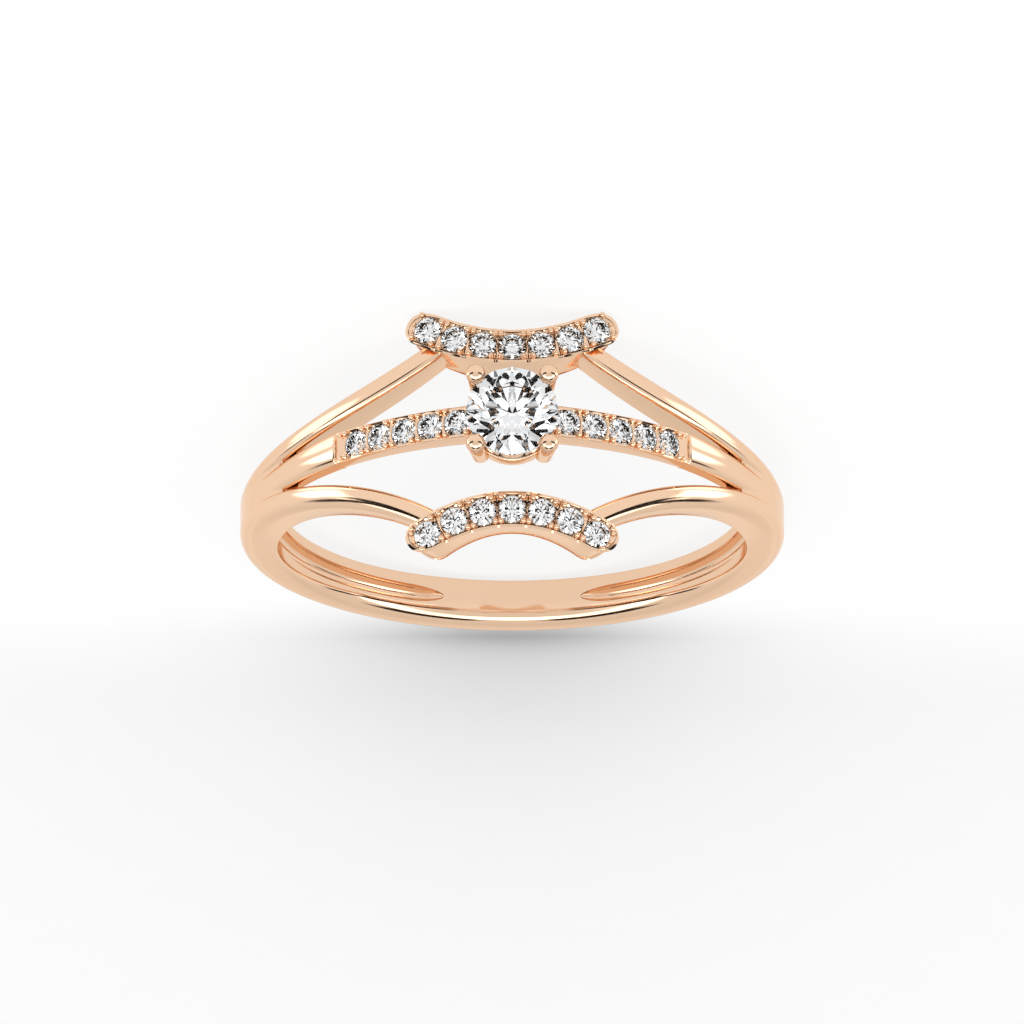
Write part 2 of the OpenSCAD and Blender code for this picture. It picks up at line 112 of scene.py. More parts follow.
def polar(a, r, f):
    """Points at angle a in degrees from the head towards +X, at radius r and at f along the finger."""
    a, r, f = np.broadcast_arrays(np.radians(a), r, f)
    return np.stack([r * np.sin(a), -r * np.cos(a), f], -1)


def lie_down(points):
    """Turns upright points about X by the resting tilt, and scales millimetres to metres."""
    x, y, z = np.moveaxis(np.asarray(points, float), -1, 0)
    c, s = math.cos(REST_TILT), math.sin(REST_TILT)
    return MM * np.stack([x, y * c - z * s, y * s + z * c], -1)


# %% [markdown]
# ## From a grid of points to a mesh
#
# Nearly every surface of the ring is a grid: one direction runs along a strand of gold and the other
# round its section. Neighbouring points of the grid make the faces, all in one step with whole arrays.
# The faces are turned so that they look away from a core line inside the gold. Where two flats meet at a
# clear angle the edge is marked sharp, and everything else is shaded smooth.

# %% Grids, caps and pieces
def grid_faces(rows, columns, close_rows=False, close_columns=False):
    """Four-sided faces between neighbours of a grid whose points are counted row by row."""
    r, c = np.meshgrid(np.arange(rows if close_rows else rows - 1),
                       np.arange(columns if close_columns else columns - 1), indexing="ij")
    r1, c1 = (r + 1) % rows, (c + 1) % columns
    corners = np.stack([r * columns + c, r * columns + c1, r1 * columns + c1, r1 * columns + c], -1)
    return corners.reshape(-1, 4)


def sheet(points, core, close_rows=False, close_columns=False, caps=False):
    """A grid of points as (points, faces): faces look away from core, which may be one point for each row."""
    rows, columns = points.shape[:2]
    faces = grid_faces(rows, columns, close_rows, close_columns)
    flat = points.reshape(-1, 3)
    inside = np.broadcast_to(np.asarray(core, float).reshape(-1, 1, 3), points.shape).reshape(-1, 3)
    a, b, c, d = (flat[faces[:, k]] for k in range(4))
    away = (np.cross(c - a, d - b) * ((a + b + c + d) / 4 - inside[faces[:, 0]])).sum()
    ends = [list(range(columns))[::-1], [(rows - 1) * columns + k for k in range(columns)]] if caps else []
    if away < 0:
        faces, ends = faces[:, ::-1], [end[::-1] for end in ends]
    return flat, faces.tolist() + ends


def add_object(name, data):
    """A new object in the scene, at the origin."""
    made = bpy.data.objects.new(name, data)
    bpy.context.scene.collection.objects.link(made)
    return made


def make_piece(name, sheets, material, sharp_deg=32):
    """Joins sheets into one object of the ring, laid down in its place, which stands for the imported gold."""
    points, faces, first = [], [], 0
    for flat, some in sheets:
        points.append(flat)
        faces += [[k + first for k in face] for face in some]
        first += len(flat)
    mesh = bpy.data.meshes.new(name)
    mesh.from_pydata(lie_down(np.concatenate(points)), [], faces)
    mesh.polygons.foreach_set("use_smooth", np.ones(len(mesh.polygons), bool))
    mesh.set_sharp_from_angle(angle=math.radians(sharp_deg))
    mesh.materials.append(material)
    piece = add_object(name, mesh)
    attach(piece, "root")
    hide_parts("metal")
    print(name, "has", len(mesh.vertices), "points and", len(mesh.polygons), "faces")


def mirrored(sheets, signs):
    """The same sheets with their points mirrored, and their faces turned to look outwards again."""
    return [(flat * signs, [face[::-1] for face in faces]) for flat, faces in sheets]


# %% [markdown]
# ## Writing shaders as sums
#
# A material is a graph of nodes. Drawn by hand it is many boxes and wires, so two small helpers let Python
# do it: a Wire is one output that can be added and multiplied like a number, and a Bench makes nodes.

# %% Wires
class Wire:
    """One output socket. Sums and products of wires add Math nodes to the same tree."""

    def __init__(self, bench, socket):
        self.bench, self.socket = bench, socket

    def __add__(self, other):
        return self.bench.maths("ADD", self, other)

    def __sub__(self, other):
        return self.bench.maths("SUBTRACT", self, other)

    def __rsub__(self, other):
        return self.bench.maths("SUBTRACT", other, self)

    def __mul__(self, other):
        return self.bench.maths("MULTIPLY", self, other)

    def __abs__(self):
        return self.bench.maths("ABSOLUTE", self)

    __radd__, __rmul__ = __add__, __mul__

    def between(self, low, high, start=0.0, end=1.0):
        """Goes smoothly from start to end while this wire goes from low to high."""
        settings = {"interpolation_type": "SMOOTHSTEP"}
        values = {"Value": self, "From Min": low, "From Max": high, "To Min": start, "To Max": end}
        return self.bench.node("ShaderNodeMapRange", settings, values)


# %% [markdown]
# The Bench holds one tree. Its node() makes any node, and the others are short ways to the usual ones.

# %% A bench
class Bench:
    """A node tree to work in. node() takes a type, its settings and the values or wires of its sockets."""

    def __init__(self, tree):
        self.tree = tree
        tree.nodes.clear()

    def node(self, kind, settings=None, values=None, output=0):
        made = self.tree.nodes.new(kind)
        for name, value in (settings or {}).items():
            setattr(made, name, value)
        for name, value in (values or {}).items():
            if isinstance(value, Wire):
                self.tree.links.new(value.socket, made.inputs[name])
            else:
                made.inputs[name].default_value = value
        return Wire(self, made.outputs[output]) if made.outputs else made

    def parts(self, vector):
        """The three parts of a vector as wires."""
        axes = self.tree.nodes.new("ShaderNodeSeparateXYZ")
        self.tree.links.new(vector.socket, axes.inputs[0])
        return [Wire(self, axes.outputs[k]) for k in range(3)]

    def maths(self, operation, *values):
        """A Math node over the given numbers and wires."""
        return self.node("ShaderNodeMath", {"operation": operation}, dict(enumerate(values)))

    def fade(self, power):
        """e to the given power."""
        return self.maths("EXPONENT", power)

    def noise(self, place, scale, detail):
        """Cloudy noise over a place, from 0 to 1."""
        return self.node("ShaderNodeTexNoise", None, {"Vector": place, "Scale": scale, "Detail": detail})

    def mix(self, factor, first, second):
        """The first colour where the factor is 0 and the second at 1: the Mix node's sockets 6 and 7."""
        values = {"Factor": factor, 6: (*first, 1.0), 7: (*second, 1.0)}
        return self.node("ShaderNodeMix", {"data_type": "RGBA"}, values, output=2)


def new_material(name):
    """An empty material, the bench to build it on and the object's own coordinates, in metres."""
    material = bpy.data.materials.new(name)
    material.use_nodes = True
    bench = Bench(material.node_tree)
    return material, bench, bench.node("ShaderNodeTexCoord", output="Object")


# %% [markdown]
# ## Polished rose gold
#
# Rose gold is gold with copper. A metal has no colour of its own beneath the surface: it tints what it
# mirrors, and in a crevice light is tinted twice or more, which is why the grooves turn orange by
# themselves. A real polish isn't perfect, so faint buffing marks change the roughness and the normal.

# %% Rose gold
rose_gold, bench, place = new_material("rose_gold_polished")
buffing = bench.noise(place, 2600.0, 3.0)
clouds = bench.noise(place, 420.0, 2.0)
tint = bench.mix(clouds, (0.890, 0.622, 0.432), (0.870, 0.597, 0.407))
marks = bench.node("ShaderNodeBump", None, {"Strength": 0.04, "Distance": 0.00001, "Height": buffing})
shine = bench.node("ShaderNodeBsdfPrincipled", None, {
    "Base Color": tint, "Metallic": 1.0, "Roughness": buffing.between(0.3, 0.7, 0.07, 0.12), "Normal": marks,
    "Specular Tint": (0.97, 0.86, 0.76, 1.0)})
bench.node("ShaderNodeOutputMaterial", None, {"Surface": shine})
print("rose gold made")

# %% [markdown]
# ## Diamond
#
# Diamond is clear, but it bends light so strongly that most of what enters the top leaves by the top again.
# The facets in the mesh do that work: a ray is bent in, mirrored twice at the back and bent out, so some
# facets show the bright tent and others a dark gap in it. The mirror image on the outside of each facet
# would grey the blacks, so it is turned down to an eighth there, and stays whole on the inside.

# %% Diamond
DIAMOND_IOR, OUTSIDE_MIRROR = 2.42, 0.12

diamond, bench, place = new_material("diamond_clear")
haze = bench.noise(place, 900.0, 2.0)
water = bench.mix(haze, (0.972, 0.988, 1.0), (0.988, 0.996, 1.0))
clear = bench.node("ShaderNodeBsdfPrincipled", None, {
    "Base Color": water, "Roughness": 0.0, "IOR": DIAMOND_IOR, "Transmission Weight": 1.0})
coated = bench.node("ShaderNodeBsdfRefraction", None, {"Color": water, "Roughness": 0.0, "IOR": DIAMOND_IOR})
within = bench.node("ShaderNodeNewGeometry", output="Backfacing")
mirror = within * (1 - OUTSIDE_MIRROR) + OUTSIDE_MIRROR
cut_stone = bench.node("ShaderNodeMixShader", None, {0: mirror, 1: coated, 2: clear})
bench.node("ShaderNodeOutputMaterial", None, {"Surface": cut_stone})
for node in stones.values():
    node.material_slots[0].material = diamond
frame["nodes"]["metal"].material_slots[0].material = rose_gold
print("diamond given to", len(stones), "stones")

# %% [markdown]
# ## The lines that the strands follow
#
# The shank is three strands that grow together. The side arms leave the bars and close in towards the
# middle plane exponentially. The middle arm's top falls from the head to the shank's own radius. These few
# curves are the whole plan of the ring.

# %% Curves of the shank
def shank_r(a):
    """Outer radius of the shank: thin at the arms and thicker to the back by a power of the angle."""
    return BORE_R + ARM_T + (BACK_T - ARM_T) * (np.asarray(a, float) / 180.0) ** 1.2


def arm_f(a):
    """Distance of a side arm's middle from the middle plane: a spread that dies away exponentially."""
    return (BACK_W - ARM_W) / 2 + ARM_SPREAD * np.exp(-ARM_RATE * (np.asarray(a, float) - ARM_JOIN_A))


def mid_table_r(a):
    """Radius of the middle arm's stone tables: the shank's radius and a rise that runs out by a power."""
    return shank_r(a) + MID_RISE * np.clip(1 - np.asarray(a, float) / MID_RISE_A, 0, None) ** MID_POWER


def mid_top_r(a):
    """Radius of the middle arm's polished top, a step above the set part and level with the shank later."""
    step = (MID_STEP_T - TABLE_PROUD) * np.clip((MID_RISE_A - a) / (MID_RISE_A - MID_STEP_A), 0, None)
    return mid_table_r(a) + step - blend(0.01, 0.05, (a - 68) / 8)


def groove_r(a):
    """Radius of the middle arm's underside and, further back, of the relief groove's floor."""
    floor = BORE_R + GROOVE_T
    return floor + (MID_UNDER_R - floor) * np.clip(1 - np.asarray(a, float) / MID_UNDER_A, 0, None)


def groove_half(a):
    """Half width of the relief groove, and how far it is from closed: it ends in a round tip."""
    to_a = 180 - GROOVE_END_A
    t = np.clip((a - MID_UNDER_A) / (to_a - MID_UNDER_A), -0.3, 1)
    tip = np.clip((a - to_a + GROOVE_TIP_A) / GROOVE_TIP_A, 0, 1)
    close = (1 - tip ** 2) ** 0.55
    return (GROOVE_W + (GROOVE_END_W - GROOVE_W) * t) / 2 * close, close


def outer_corner(a):
    """Height and width of the elliptical outer edges: small at a bar, and a soft shoulder further back."""
    height = np.interp(a, [16, 40, 60, 90], [0.24, 0.34, 0.5, 0.7])
    return height, np.interp(a, [16, 40, 70], [0.3, 0.68, 0.8])


def groove_depth(share):
    """Depth of the relief groove over its half width, as a share: steep walls and a hollow floor."""
    return np.clip(1 - share ** 2.3, 0, 1) ** 0.55


print("side arms", np.round(arm_f([ARM_JOIN_A, 180]), 2), "mm off the middle, at a bar and at the back")

# %% [markdown]
# ## Rounded sections
#
# A strand's section is a box with two rounded outer corners. Each corner is a quarter circle, written with
# sine and cosine, so the same few lines serve every strand. All the numbers may change along the strand.

# %% A rounded section
CORNER = np.radians(np.linspace(0, 90, 9))


def quarter(top, side, corner, outward, width=None):
    """A quarter ellipse between a side and the top: radii top - c + c sin, offsets side + w - w cos."""
    width = corner if width is None else width
    rise = top[:, None] - corner[:, None] * (1 - np.sin(CORNER))
    come_in = side[:, None] - outward * width[:, None] * (1 - np.cos(CORNER))
    return rise, come_in


def columns(*pairs):
    """Puts columns of radius and offset side by side: each pair is two arrays with a row for each place."""
    rows = max(np.asarray(p[0]).shape[0] for p in pairs)
    r = np.concatenate([np.asarray(p[0], float).reshape(rows, -1) for p in pairs], 1)
    f = np.concatenate([np.asarray(p[1], float).reshape(rows, -1) for p in pairs], 1)
    return r, f


def heel(a, side, count):
    """The edge at the finger hole, from the side inwards: sharp at the arms and comfortable at the back."""
    rounding = blend(0.06, 0.48, (a - 80) / 60)[:, None]
    bend = np.radians(np.linspace(90, 0, count))
    return BORE_R + rounding * (1 - np.cos(bend)), side[:, None] - rounding * (1 - np.sin(bend))


# %% [markdown]
# ## Side arms
#
# Four arms run from the ends of the bars to the shoulders. Each is a strand of gold with a rounded outer
# edge, standing on the finger hole, and slightly narrower there on the side of the middle arm.

# %% Side arms
INNER_CORNER = 0.26
WIDEST_CORNER = ARM_W - INNER_CORNER - 0.02


def side_arm(side, front):
    """One side arm: its rounded section carried along its curve, from inside the bar to the shoulder."""
    a = np.linspace(ARM_START_A, SHOULDER_A, 89)
    low, high, top = arm_f(a) - ARM_W / 2, arm_f(a) + ARM_W / 2, shank_r(a)
    corner, width = outer_corner(a)
    low_r, low_f = quarter(top, low, np.full_like(a, INNER_CORNER), -1)
    high_r, high_f = quarter(top, high, corner, 1, np.minimum(width, WIDEST_CORNER))
    foot = (np.full_like(a, BORE_R), low + ARM_TAPER)
    r, f = columns(foot, (low_r, low_f), (high_r[:, ::-1], high_f[:, ::-1]), heel(a, high, 5))
    points = polar(a[:, None], r, f) * [side, 1, front]
    core = polar(a, BORE_R + ARM_T / 2, arm_f(a)) * [side, 1, front]
    return sheet(points, core, close_columns=True, caps=True)


make_piece("side_arms", [side_arm(s, f) for s in (1, -1) for f in (1, -1)], rose_gold)

# %% [markdown]
# ## The shank behind the shoulders
#
# From the shoulders back, the three strands are one body. Its outer surface is worked out as a height over
# the width: at each point the highest of the arms' rounded tops, the middle arm's top and a plain band that
# rises to meet them. The creases between the strands then fade away as they do on the real ring. Inside, a
# relief groove lightens each side of the band, with its round end near the back.

# %% Shank
def mid_corner(a):
    """Height and width of the plain stretch's rounded edges: fuller towards the shoulder."""
    return np.interp(a, [MID_STEP_A, 50, 60], [0.2, 0.32, 0.42]), np.interp(a, [MID_STEP_A, 60], [0.55, 0.57])


def mid_half(a):
    """Half width of the middle arm's plain stretch: it narrows a hair towards the shoulder."""
    return MID_W / 2 + blend(0.02, -0.02, (a - MID_STEP_A) / 18)


def strand_top(f, edge, top, corner, width):
    """Height of a strand that ends at an edge, over a distance f: flat, a quarter ellipse, then nothing."""
    share = np.clip((f - edge) / width + 1, 0, None)
    return np.where(share <= 1, top - corner * (1 - np.sqrt(np.clip(1 - share ** 2, 0, None))), -1.0)


def shank_top(a, across):
    """The outer surface over the width: the highest of the side arms, the middle arm and a plain band."""
    a = a[:, None]
    arms = strand_top(-np.abs(across), ARM_W / 2 - arm_f(a), shank_r(a), INNER_CORNER, INNER_CORNER)
    middle = strand_top(np.abs(across), mid_half(a), mid_top_r(a), *mid_corner(a))
    plain = shank_r(a) - blend(SHOULDER_DIP, 0.0, (a - 58) / 16)
    return np.maximum(np.maximum(arms, middle), plain)


def relief(a):
    """One side of the relief groove's wall and floor, from its edge to the middle plane."""
    half, close = groove_half(a)
    half = np.maximum(half, np.where(a < MID_UNDER_A, arm_f(a) - ARM_W / 2 + ARM_TAPER, 0))
    share = np.concatenate([np.linspace(1, 0.8, 13), np.linspace(0.75, 0, 9)])
    depth = (groove_r(a) - BORE_R) * close ** 1.5
    return BORE_R + depth[:, None] * groove_depth(share), half[:, None] * share


def shank():
    """The joined shank from shoulder to shoulder, as one closed section carried round the back."""
    steps = [np.arange(SHOULDER_A, 80, 0.5), np.arange(80, 150, 1.0), np.arange(150, 180.1, 0.5)]
    half_turn = np.concatenate(steps)
    ring_a = np.concatenate([half_turn, 360 - half_turn[-2::-1]])
    a = np.minimum(ring_a, 360 - ring_a)
    half, (corner, width) = arm_f(a) + ARM_W / 2, outer_corner(a)
    width = np.minimum(width, WIDEST_CORNER)
    across = np.linspace(-1, 1, 141)[None, :] * (half - width)[:, None]
    side_r, side_f = quarter(shank_r(a), half, corner, 1, width)
    one_side = [(side_r[:, ::-1], side_f[:, ::-1]), heel(a, half, 7), relief(a)]
    other_side = [(r[:, ::-1], -f[:, ::-1]) for r, f in one_side[::-1]]
    r, f = columns(*other_side, (shank_top(a, across), across), *one_side)
    return sheet(polar(ring_a[:, None], r, f), polar(ring_a, BORE_R + 0.8, 0), close_columns=True, caps=True)


# %% [markdown]
# Where two strands part, a file can't reach the very corner, and a small web of gold is left. It is a ramp
# with a hollow across it, and it closes the end of the shank's section.

# %% Webs, and the shank as a piece
WEB_FROM_A, WEB_TO_A, WEB_RISE_A, WEB_SINK = 56.8, 60.5, 2.6, 0.08


def web(side, front):
    """The floor of a crotch: a ramp between the middle arm and a side arm, rising to where they meet."""
    a = np.linspace(WEB_FROM_A, WEB_TO_A, 24)
    from_f, to_f = MID_W / 2 - WEB_SINK, arm_f(a) - ARM_W / 2 + WEB_SINK
    span, t = (to_f - from_f)[:, None], np.linspace(0, 1, 15)
    ramp = blend(0, 1, (a - WEB_FROM_A) / WEB_RISE_A)
    low = groove_r(a) + 0.02
    base = low + (shank_r(a) - SHOULDER_DIP - low) * ramp ** 1.4
    r = base[:, None] + 0.3 * span * (2 * t - 1) ** 2 * ramp[:, None] + 0.002
    r, f = columns((low, np.full_like(a, from_f)), (r, from_f + span * t), (low, to_f))
    points = polar(a[:, None], r, f) * [side, 1, front]
    core = polar(a, low, (from_f + to_f) / 2) * [side, 1, front]
    return sheet(points, core, close_columns=True, caps=True)


make_piece("shank", [shank()] + [web(s, f) for s in (1, -1) for f in (1, -1)], rose_gold)

# %% [markdown]
# ## Rows of small stones
#
# A setter drills a seat for each stone, raises four small beads of gold over its edge with a graver, and
# cuts the gold away between the beads. So the top of a set row is worked out stone by stone: one cell for
# each, as rays from the round seat to the cell's edge. Where two cells meet, the edge dips into a fine cut.

# %% Line of a bar
TABLE_Z = SMALL_D * CUT_GIRDLE / 2 + SMALL_D / 2 * (1 - CUT_TABLE) * math.tan(math.radians(CROWN_A))
BAR_R = BAR_TABLE_R - TABLE_PROUD


def bar_line(x, r=BAR_R):
    """A bar's top line at x: on a circle about the finger, and bending away from the centre stone."""
    x = np.asarray(x, float)
    return np.stack([x, -np.sqrt(r * r - x * x), BAR_F + BAR_CURVE * x * x], -1)


def bar_up(x, r=BAR_R):
    """The way up at x: away from the finger, leaning out by an angle that eases off towards the tips."""
    x = np.asarray(x, float)
    lean = np.radians(BAR_LEAN - 0.2 * x * x)
    return np.stack([x / r * np.cos(lean), -np.sqrt(r * r - x * x) / r * np.cos(lean), np.sin(lean)], -1)


def bar_surface(x, v, h):
    """A point of a bar: out from its top line by v across it and by h along the way up."""
    up = bar_up(x)
    across = unit(np.array([0, 0, 1.0]) - up[..., 2:] * up)
    return bar_line(x) + np.asarray(v)[..., None] * across + np.asarray(h)[..., None] * up


def bar_slope(x):
    """The bar line's slope in plan."""
    return 2 * BAR_CURVE * np.asarray(x, float)


def bar_frame(x):
    """A bar stone's girdle middle, its direction along the row and its way up."""
    up = bar_up(x, BAR_TABLE_R)
    along = unit(np.stack([1.0, x / math.sqrt(BAR_TABLE_R ** 2 - x * x), 2 * BAR_CURVE * x], -1))
    return bar_line(x, BAR_TABLE_R) - TABLE_Z * up, along, up


print("tables", round(TABLE_Z, 3), "mm above the girdles, and", TABLE_PROUD, "above the gold")

# %% [markdown]
# The middle arms lie in the ring's middle plane, so a place on one is an angle and an offset along the
# finger. The way up there is square to the line of the tables, which climbs towards the head.

# %% Line of a middle arm
def mid_surface(a, v, h):
    """A point of a middle arm's set top: above or below the gold's radius by h, and v along the finger."""
    return polar(a, mid_table_r(a) - TABLE_PROUD + np.asarray(h), v)


def mid_frame(a):
    """A middle stone's girdle middle, its direction along the row and its way up."""
    there, here = polar(a + 0.1, mid_table_r(a + 0.1), 0), polar(a - 0.1, mid_table_r(a - 0.1), 0)
    along = unit(there - here)
    up = np.cross(along, [0, 0, 1.0])
    up = up * np.sign((up * polar(a, 1, 0)).sum())
    return polar(a, mid_table_r(a), 0) - TABLE_Z * up, along, up


print("the arm's tables climb from", np.round(mid_table_r([MID_STEP_A, MID_START_A]), 2), "mm radius")

# %% [markdown]
# The stones of a row stand one pitch apart along its line. No formula gives the place for a length along
# such a line, so an interval is halved until it is found. A fine cut lies half way between two stones.

# %% Places of the stones
FIRST_ARM_STONE_A = 10.7


def place_at(distance, length, high):
    """The parameter whose length along a line is the given distance, by halving an interval."""
    low = 0.0
    for _ in range(40):
        middle = (low + high) / 2
        low, high = (middle, high) if length(middle) < distance else (low, middle)
    return low


def bar_length(x):
    """Distance along the line of the tables from the middle to x, summed over short steps."""
    line = bar_line(np.linspace(0, x, 400), BAR_TABLE_R)
    return np.linalg.norm(np.diff(line, axis=0), axis=1).sum()


def bar_place(pitches):
    """The x that lies a number of pitches from a bar's middle."""
    return math.copysign(place_at(PITCH * abs(pitches), bar_length, 3.9), pitches)


def next_mid(a):
    """The angle one pitch further along the line of the middle arm's tables."""
    def chord(step):
        return np.linalg.norm(polar(a + step, mid_table_r(a + step), 0) - polar(a, mid_table_r(a), 0))
    return a + place_at(PITCH, chord, 9.0)


bar_stones = np.array([bar_place(k) for k in (-3, -2, -1, 0, 1, 2, 3)])
bar_cuts = np.array([bar_place(k) for k in (-2.5, -1.5, -0.5, 0.5, 1.5, 2.5)])
mid_stones = [FIRST_ARM_STONE_A]
for _ in range(4):
    mid_stones.append(next_mid(mid_stones[-1]))
mid_stones = np.array(mid_stones)
mid_cuts = (mid_stones[1:] + mid_stones[:-1]) / 2
print("bar stones at x =", np.round(bar_stones, 2), "and arm stones at", np.round(mid_stones, 1), "degrees")

# %% [markdown]
# The outline of a bar is needed by its top and by its walls alike. Its ends are two different quarter
# ellipses, a long one on the outside and a short one on the inside, which gives the blunt leaning tips.

# %% Outline of a bar
# How long and how deep the corner at a tip is, on either edge.
LOW_TIP, HIGH_TIP = (0.2, 0.35), (1.05, 1.27)


def corner_in(x, long, deep):
    """How far an elliptical corner has come in at x."""
    u = np.clip((np.abs(x) - BAR_HALF) / long + 1, 0, 1)
    return deep * (1 - np.sqrt(1 - u * u))


def bar_low(x):
    """Edge of a bar on the side of the centre stone."""
    return -BAR_W / 2 * np.hypot(1, bar_slope(x)) + corner_in(x, *LOW_TIP)


def bar_high(x):
    """Edge of a bar on its outer side."""
    return BAR_W / 2 * np.hypot(1, bar_slope(x)) - corner_in(x, *HIGH_TIP)


end_x = np.linspace(0.9 * BAR_HALF, BAR_HALF, 2001)
BAR_END = float(end_x[bar_high(end_x) > bar_low(end_x) + 0.02].max())


def bar_outline():
    """Closed outline in x and v, evenly spaced along its length, and its outward direction."""
    x = BAR_END * np.sin(np.radians(np.linspace(-90, 90, 1200)))
    loop = np.concatenate([np.stack([x, bar_high(x)], -1), np.stack([x, bar_low(x)], -1)[::-1]])
    step = np.linalg.norm(np.diff(loop, axis=0, append=loop[:1]), axis=1)
    run = np.concatenate([[0], np.cumsum(step)])
    even = np.linspace(0, run[-1], 841)[:-1]
    loop = np.stack([np.interp(even, run, np.append(loop[:, k], loop[0, k])) for k in (0, 1)], -1)
    ahead = np.roll(loop, -2, 0) - np.roll(loop, 2, 0)
    return loop, unit(np.stack([ahead[:, 1], -ahead[:, 0]], -1))


print("a bar's edges meet at x =", round(BAR_END, 3))

# %% [markdown]
# ## Cells, seats and beads
#
# Each cell's border is a closed loop of points. The rays start in the stone's own frame, where the seat is
# a true circle, and end on the border in the bar's or arm's own curved surface, so both ends are right.

# %% Cells
CUT_DEPTH, CUT_W, RIM_CUT, RIM_IN = 0.15, 0.045, 0.3, 0.03
CUT_FROM, CUT_FADE, DIP, DIP_W = 0.2, 0.12, 0.05, 0.3
SCALLOP, SCALLOP_W = 0.035, 0.27
# A seat's rows from its middle out: radius, and height from the middle of the girdle.
SEAT_ROWS = [(0.02, -0.44), (0.3, -0.22), (0.506, -0.035), (0.508, 0.012), (0.514, 0.022)]


def notch(q, cuts, width):
    """1 at each cut between two stones and falling away over the given width."""
    return np.exp(-((np.asarray(q)[..., None] - cuts) / width) ** 2).max(-1)


def rim_drop(q, cuts, ends, mm=1.0):
    """How far a rim lies below the plain top, at q of mm each: scalloped at the stones and cut between."""
    ends = np.concatenate([cuts, ends])
    return SCALLOP * (1 - notch(q, ends, SCALLOP_W / mm)), RIM_CUT * CUT_DEPTH * notch(q, cuts, CUT_W / mm)


def cell(frame, surface, border, drop, cut):
    """One stone's cell: seat rows in the stone's frame, then rows that go over to the border."""
    p, along, up = frame
    side = np.cross(up, along)
    rim = surface(border[:, 0], border[:, 1], -drop)
    turn = np.arctan2((rim - p) @ side, (rim - p) @ along)
    ring = np.cos(turn)[:, None] * along + np.sin(turn)[:, None] * side
    rows = [p + r * ring + z * up for r, z in SEAT_ROWS]
    rows += [rows[-1] + (rim - rows[-1]) * t for t in (0.3, 0.6, 0.86)]
    rows.append(surface(border[:, 0], border[:, 1], -drop - cut))
    return sheet(np.stack(rows), p - 8 * up, close_columns=True)


def cut_line(q, skew, half_low, half_high, count=24):
    """Border of two cells across the row: its places, and how far it is dropped and cut at each."""
    d = np.linspace(half_low, half_high, count)
    line = np.stack([q - skew * d, d], -1)
    near_rim = np.clip(np.abs(d) / abs(half_low) * 4 - 3, 0, 1)
    cut = CUT_DEPTH * np.clip((np.abs(d) - CUT_FROM) / CUT_FADE, 0, 1) * (1 - (1 - RIM_CUT) * near_rim)
    return line, DIP * np.clip(1 - (d / DIP_W) ** 2, 0, 1), cut


print("cuts", CUT_DEPTH, "mm deep, between seats for stones of", SMALL_D, "mm")

# %% [markdown]
# A bead is a curl of gold that the graver has pushed up, and the beading tool has rounded off. It stands
# half on the gold and half over the stone's edge, four to a stone.

# %% Beads
BEAD_R, BEAD_H, BEAD_SINK, BEAD_ALONG, BEAD_ACROSS = 0.125, 0.15, 0.09, 0.415, 0.45
SQUARENESS = 2.6


def bead(frame, along_mm, across_mm, size=BEAD_R, height=BEAD_H):
    """A raised bead: rings of a rounded square that shrink steeply, then close in a dome."""
    p, along, up = frame
    side = np.cross(up, along)
    turn = np.radians(np.arange(0, 360, 30))
    c, s = np.cos(turn), np.sin(turn)
    square = (np.abs(c) ** SQUARENESS + np.abs(s) ** SQUARENESS) ** (-1 / SQUARENESS)
    ring = square[:, None] * (c[:, None] * along + s[:, None] * side)
    foot = p + along_mm * along + across_mm * side + (TABLE_Z - TABLE_PROUD - BEAD_SINK) * up
    rows = []
    for q in np.radians([0, 20, 40, 58, 74, 89]):
        rows.append(foot + size * math.cos(q) ** 0.7 * ring + (BEAD_SINK + height) * math.sin(q) * up)
    return sheet(np.stack(rows), foot, close_columns=True)


def four_beads(frame):
    """The four beads round a stone."""
    return [bead(frame, x, y) for x in (-BEAD_ALONG, BEAD_ALONG) for y in (-BEAD_ACROSS, BEAD_ACROSS)]


# %% [markdown]
# ## Side bars
#
# A bar's wall is one profile carried round its closed outline: over the rounded top edge, down the side,
# and under it to the finger hole or, at the ends, to the rising keel. The cells close the top.

# %% Walls of a bar
BAR_TIP_T, KEEL_BEND, BAR_RIM_END, WALL_FROM = 0.49, 9.0, 3.85, 0.22


def rim_rows(top, ease):
    """A wall's rounded top edge, as how far in and how high: the cuts' dips ease off as it turns down."""
    rows = [(0.11, top - 0.03)]
    for q in np.radians([0, 22, 45, 68, 90]):
        inset = RIM_IN * (1 - math.sin(q))
        rows.append((inset, top * (1 - ease * math.sin(q)) - RIM_IN * (1 - math.cos(q))))
    return rows


def bar_depth(x, whole):
    """How far a bar reaches below its top: to the finger hole, and less and less towards its tips."""
    rise = (np.abs(x) - BAR_KEEL_X) / (BAR_HALF - BAR_KEEL_X)
    soft = np.log1p(np.exp(rise * KEEL_BEND)) / KEEL_BEND
    return whole - (whole - BAR_TIP_T) * np.minimum(soft, 1.0)


def to_finger_hole(x, v):
    """Depth below a bar's top at which the way down meets the finger hole: a quadratic equation."""
    o, up = bar_surface(x, v, np.zeros_like(x))[..., :2], bar_up(x)[..., :2]
    a, b, c = (up * up).sum(-1), -2 * (o * up).sum(-1), (o * o).sum(-1) - BORE_R ** 2
    return (-b - np.sqrt(b * b - 4 * a * c)) / (2 * a)


def bar_rim(x):
    """Drop and cut of a bar's rim at x."""
    return rim_drop(x, bar_cuts, [-BAR_RIM_END, BAR_RIM_END])


